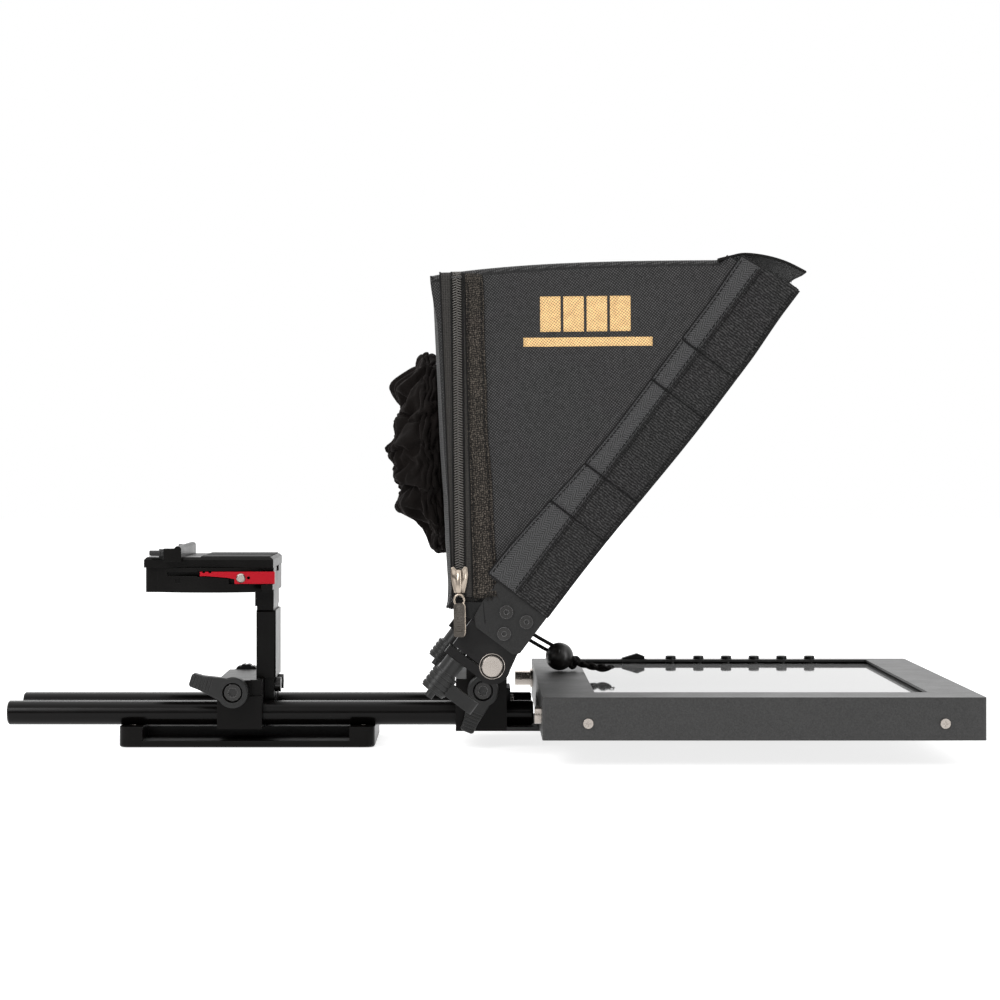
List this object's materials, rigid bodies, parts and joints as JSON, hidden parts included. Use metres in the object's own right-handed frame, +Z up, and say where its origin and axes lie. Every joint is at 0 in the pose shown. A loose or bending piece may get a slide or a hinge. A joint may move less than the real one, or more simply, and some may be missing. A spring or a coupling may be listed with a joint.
{
  "type": "teleprompter",
  "caption": "Teleprompter on two rods: camera riser with quick release, tilting hooded beamsplitter frame and a flat screen lying in front of it.",
  "frame": {"origin": "centre of the base plate's underside, at the mouth of the tripod thread", "axes": "+X along the rods towards the screen and the presenter, +Z up, -Y the side with the red release lever"},
  "size_m": [0.5824, 0.3032, 0.298],
  "materials": {
    "black_anodised": "satin black anodised",
    "rod": "satin black anodised",
    "bracket_paint": "fine matt black",
    "lever_black": "moulded, fine grain",
    "steel": "bright",
    "dark_steel": "blackened",
    "red_anodised": "satin red anodised",
    "rubber": "fine ribbed",
    "monitor_paint": "fine dark grey texture",
    "screen": "smooth",
    "backlight_white": "smooth",
    "board": "circuit board",
    "button_black": "moulded",
    "mirror_glass": "partly reflecting",
    "hood_fabric": "coated woven nylon",
    "strap_fabric": "hook and loop",
    "sock_fabric": "soft stretch cloth",
    "zip_tape": "woven tape with coil",
    "zip_metal": "antique metal",
    "cord": "braided",
    "cord_ball": "moulded"
  },
  "bodies": {
    "rail_base": {"base_plate": "black_anodised", "base_screws": "steel", "near_rod": "rod", "far_rod": "rod"},
    "riser_carriage": {"riser_clamp_block": "black_anodised", "riser_post_screws": "dark_steel"},
    "riser_lever": {"riser_clamp_lever": "lever_black", "riser_lever_screw": "dark_steel"},
    "riser_knob": {"riser_clamp_knob": "lever_black"},
    "riser": {"riser_post": "black_anodised", "quick_release_body": "black_anodised"},
    "release_lever": {"quick_release_lever": "red_anodised", "quick_release_pin": "steel"},
    "sliding_plate": {"camera_plate": "black_anodised", "camera_pads": "rubber"},
    "screw_carrier": {"screw_washer": "steel"},
    "mounting_screw": {"camera_screw": "steel"},
    "stop_bar": {"plate_stop": "black_anodised"},
    "stop_thumbscrew": {"stop_screw": "lever_black"},
    "front_carriage": {"front_clamp_block": "black_anodised", "pivot_shaft": "steel", "monitor_bracket": "bracket_paint", "monitor_case": "monitor_paint", "monitor_back": "monitor_paint", "monitor_posts": "monitor_paint", "lcd_panel": "screen", "lcd_backlight": "backlight_white", "circuit_boards": "board", "monitor_screws": "steel", "bnc_connector": "steel", "power_jack": "steel", "cord_lock": "cord_ball", "cord_knot": "cord"},
    "front_lever": {"front_clamp_lever": "lever_black", "front_lever_screw": "dark_steel"},
    "front_knob": {"front_clamp_knob": "lever_black"},
    "key_1": {"button_1": "button_black"},
    "key_2": {"button_2": "button_black"},
    "key_3": {"button_3": "button_black"},
    "key_4": {"button_4": "button_black"},
    "key_5": {"button_5": "button_black"},
    "key_6": {"button_6": "button_black"},
    "power_rocker": {"rocker_switch": "button_black"},
    "mirror_frame": {"near_arm": "bracket_paint", "far_arm": "bracket_paint", "arm_screws": "dark_steel", "near_side_plate": "bracket_paint", "far_side_plate": "bracket_paint", "frame_rails": "bracket_paint", "beamsplitter_glass": "mirror_glass", "hood_near_panel": "hood_fabric", "hood_far_panel": "hood_fabric", "hood_top_panel": "hood_fabric", "hood_bottom_panel": "hood_fabric", "hood_rear_panel": "hood_fabric", "hood_flap": "hood_fabric", "near_strap": "strap_fabric", "far_strap": "strap_fabric", "zip_tape": "zip_tape", "camera_sock": "sock_fabric", "lock_cord_a": "cord", "lock_cord_b": "cord"},
    "near_tilt_clamp": {"near_tilt_lever": "lever_black"},
    "far_tilt_clamp": {"far_tilt_lever": "lever_black"},
    "zip_runner": {"zip_slider": "zip_metal"},
    "zip_pull": {"zip_puller": "zip_metal"}
  },
  "joints": [
    {"name": "riser_slide", "type": "slide", "parent": "rail_base", "child": "riser_carriage", "axis": [1, 0, 0], "range_m": [-0.04, 0.045]},
    {"name": "riser_lever_turn", "type": "hinge", "parent": "riser_carriage", "child": "riser_lever", "pos_m": [-0.0079, -0.0496, 0.0342], "axis": [0, 1, 0], "range_deg": [-150, 0]},
    {"name": "riser_knob_turn", "type": "hinge", "parent": "riser_carriage", "child": "riser_knob", "pos_m": [-0.0079, 0.049, 0.0342], "axis": [0, 1, 0], "continuous": true},
    {"name": "riser_height", "type": "slide", "parent": "riser_carriage", "child": "riser", "axis": [0, 0, 1], "range_m": [0, 0.016]},
    {"name": "release_turn", "type": "hinge", "parent": "riser", "child": "release_lever", "pos_m": [0.0125, -0.0386, 0.1037], "axis": [0, 0, 1], "range_deg": [0, 40]},
    {"name": "plate_slide", "type": "slide", "parent": "riser", "child": "sliding_plate", "axis": [1, 0, 0], "range_m": [-0.025, 0.025]},
    {"name": "screw_slide", "type": "slide", "parent": "sliding_plate", "child": "screw_carrier", "axis": [1, 0, 0], "range_m": [-0.02, 0.02]},
    {"name": "screw_turn", "type": "hinge", "parent": "screw_carrier", "child": "mounting_screw", "pos_m": [-0.0155, 0, 0.1123], "axis": [0, 0, 1], "continuous": true},
    {"name": "stop_slide", "type": "slide", "parent": "sliding_plate", "child": "stop_bar", "axis": [1, 0, 0], "range_m": [-0.01, 0.01]},
    {"name": "stop_screw_turn", "type": "hinge", "parent": "stop_bar", "child": "stop_thumbscrew", "pos_m": [-0.056, -0.0412, 0.119], "axis": [1, 0, 0], "continuous": true},
    {"name": "front_slide", "type": "slide", "parent": "rail_base", "child": "front_carriage", "axis": [1, 0, 0], "range_m": [0, 0.015]},
    {"name": "front_lever_turn", "type": "hinge", "parent": "front_carriage", "child": "front_lever", "pos_m": [0.1449, -0.0516, 0.0355], "axis": [0, 1, 0], "range_deg": [-150, 0]},
    {"name": "front_knob_turn", "type": "hinge", "parent": "front_carriage", "child": "front_knob", "pos_m": [0.1449, 0.051, 0.0355], "axis": [0, 1, 0], "continuous": true},
    {"name": "key_1_press", "type": "slide", "parent": "front_carriage", "child": "key_1", "axis": [0, 0, -1], "range_m": [0, 0.0012], "stiffness_N_per_m": 250, "springref_m": -0.002},
    {"name": "key_2_press", "type": "slide", "parent": "front_carriage", "child": "key_2", "axis": [0, 0, -1], "range_m": [0, 0.0012], "stiffness_N_per_m": 250, "springref_m": -0.002},
    {"name": "key_3_press", "type": "slide", "parent": "front_carriage", "child": "key_3", "axis": [0, 0, -1], "range_m": [0, 0.0012], "stiffness_N_per_m": 250, "springref_m": -0.002},
    {"name": "key_4_press", "type": "slide", "parent": "front_carriage", "child": "key_4", "axis": [0, 0, -1], "range_m": [0, 0.0012], "stiffness_N_per_m": 250, "springref_m": -0.002},
    {"name": "key_5_press", "type": "slide", "parent": "front_carriage", "child": "key_5", "axis": [0, 0, -1], "range_m": [0, 0.0012], "stiffness_N_per_m": 250, "springref_m": -0.002},
    {"name": "key_6_press", "type": "slide", "parent": "front_carriage", "child": "key_6", "axis": [0, 0, -1], "range_m": [0, 0.0012], "stiffness_N_per_m": 250, "springref_m": -0.002},
    {"name": "rocker_turn", "type": "hinge", "parent": "front_carriage", "child": "power_rocker", "pos_m": [0.248, 0.1447, 0.0376], "axis": [0, 1, 0], "range_deg": [0, 12]},
    {"name": "frame_tilt", "type": "hinge", "parent": "front_carriage", "child": "mirror_frame", "pos_m": [0.15, 0, 0.056], "axis": [0, 1, 0], "range_deg": [-10, 30], "deforming": ["lock_cord_a", "lock_cord_b"]},
    {"name": "near_tilt_clamp_turn", "type": "hinge", "parent": "mirror_frame", "child": "near_tilt_clamp", "pos_m": [0.12881, -0.122, 0.05945], "axis": [-0.6018, 0, -0.7986], "range_deg": [0, 120]},
    {"name": "far_tilt_clamp_turn", "type": "hinge", "parent": "mirror_frame", "child": "far_tilt_clamp", "pos_m": [0.12881, 0.122, 0.05945], "axis": [-0.6018, 0, -0.7986], "range_deg": [-120, 0]},
    {"name": "zip_travel", "type": "slide", "parent": "mirror_frame", "child": "zip_runner", "axis": [-0.0102, 0.1195, 0.9928], "range_m": [0, 0.15]},
    {"name": "puller_swing", "type": "hinge", "parent": "zip_runner", "child": "zip_pull", "pos_m": [0.13083, -0.12841, 0.09594], "axis": [-0.9879, 0.1523, -0.0284], "range_deg": [0, 115]}
  ]
}
